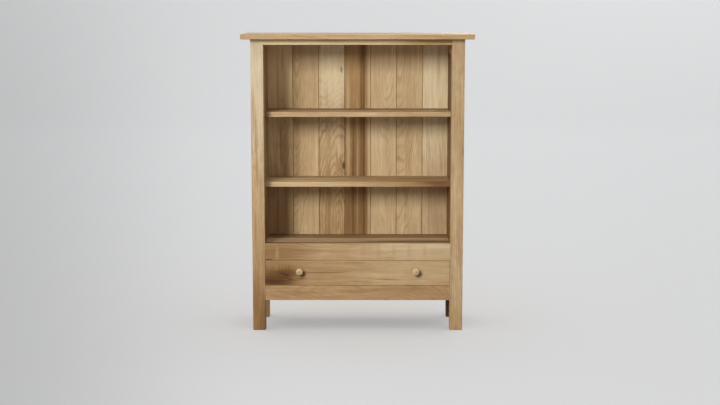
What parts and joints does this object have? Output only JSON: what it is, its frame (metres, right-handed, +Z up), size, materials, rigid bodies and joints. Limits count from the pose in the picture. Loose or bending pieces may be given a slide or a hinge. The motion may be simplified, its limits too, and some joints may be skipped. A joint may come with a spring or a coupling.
{
  "type": "bookcase",
  "caption": "Free-standing open wooden bookcase on square legs, with shelves, a board back and a wide drawer with turned knobs at the bottom.",
  "frame": {"origin": "on the floor, under the centre of the top board, which is the overall box", "axes": "+X to the right seen from the front, +Y from the front to the back, +Z up"},
  "size_m": [0.922, 0.333, 1.196],
  "materials": {
    "pine": "planed pine with a clear satin wax, knots and darker heartwood streaks",
    "pine_back": "planed tongue-and-groove pine boards, a little less finished than the front",
    "pine_inner": "bare planed pine",
    "knob_wood": "turned pale wood, sanded smooth",
    "steel": "dull cut nails, dark grey"
  },
  "bodies": {
    "case": {"back_board_1": "pine_back", "back_board_2": "pine_back", "back_board_3": "pine_back", "back_board_4": "pine_back", "back_board_5": "pine_back", "back_board_6": "pine_back", "back_board_7": "pine_back", "back_nails": "steel", "bottom_rail": "pine", "drawer_kicker_left": "pine_inner", "drawer_kicker_right": "pine_inner", "drawer_rail": "pine", "drawer_runner_left": "pine_inner", "drawer_runner_right": "pine_inner", "drawer_stop_left": "pine_inner", "drawer_stop_right": "pine_inner", "floor_board": "pine", "front_post_left": "pine", "front_post_right": "pine", "front_top_rail": "pine", "rear_bottom_rail": "pine", "rear_post_left": "pine", "rear_post_right": "pine", "rear_top_rail": "pine", "runner_nails": "steel", "shelf_lower": "pine", "shelf_upper": "pine", "side_bottom_rail_left": "pine", "side_bottom_rail_right": "pine", "side_panel_left": "pine", "side_panel_right": "pine", "side_top_rail_left": "pine", "side_top_rail_right": "pine", "top_board": "pine", "top_dowels": "pine_inner"},
    "drawer": {"drawer_back": "pine_inner", "drawer_bottom": "pine_inner", "drawer_bottom_nails": "steel", "drawer_front": "pine", "drawer_side_left": "pine_inner", "drawer_side_right": "pine_inner", "knob_left": "knob_wood", "knob_right": "knob_wood"}
  },
  "joints": [
    {"name": "drawer_slide", "type": "slide", "parent": "case", "child": "drawer", "axis": [0, -1, 0], "range_m": [0, 0.18]}
  ]
}
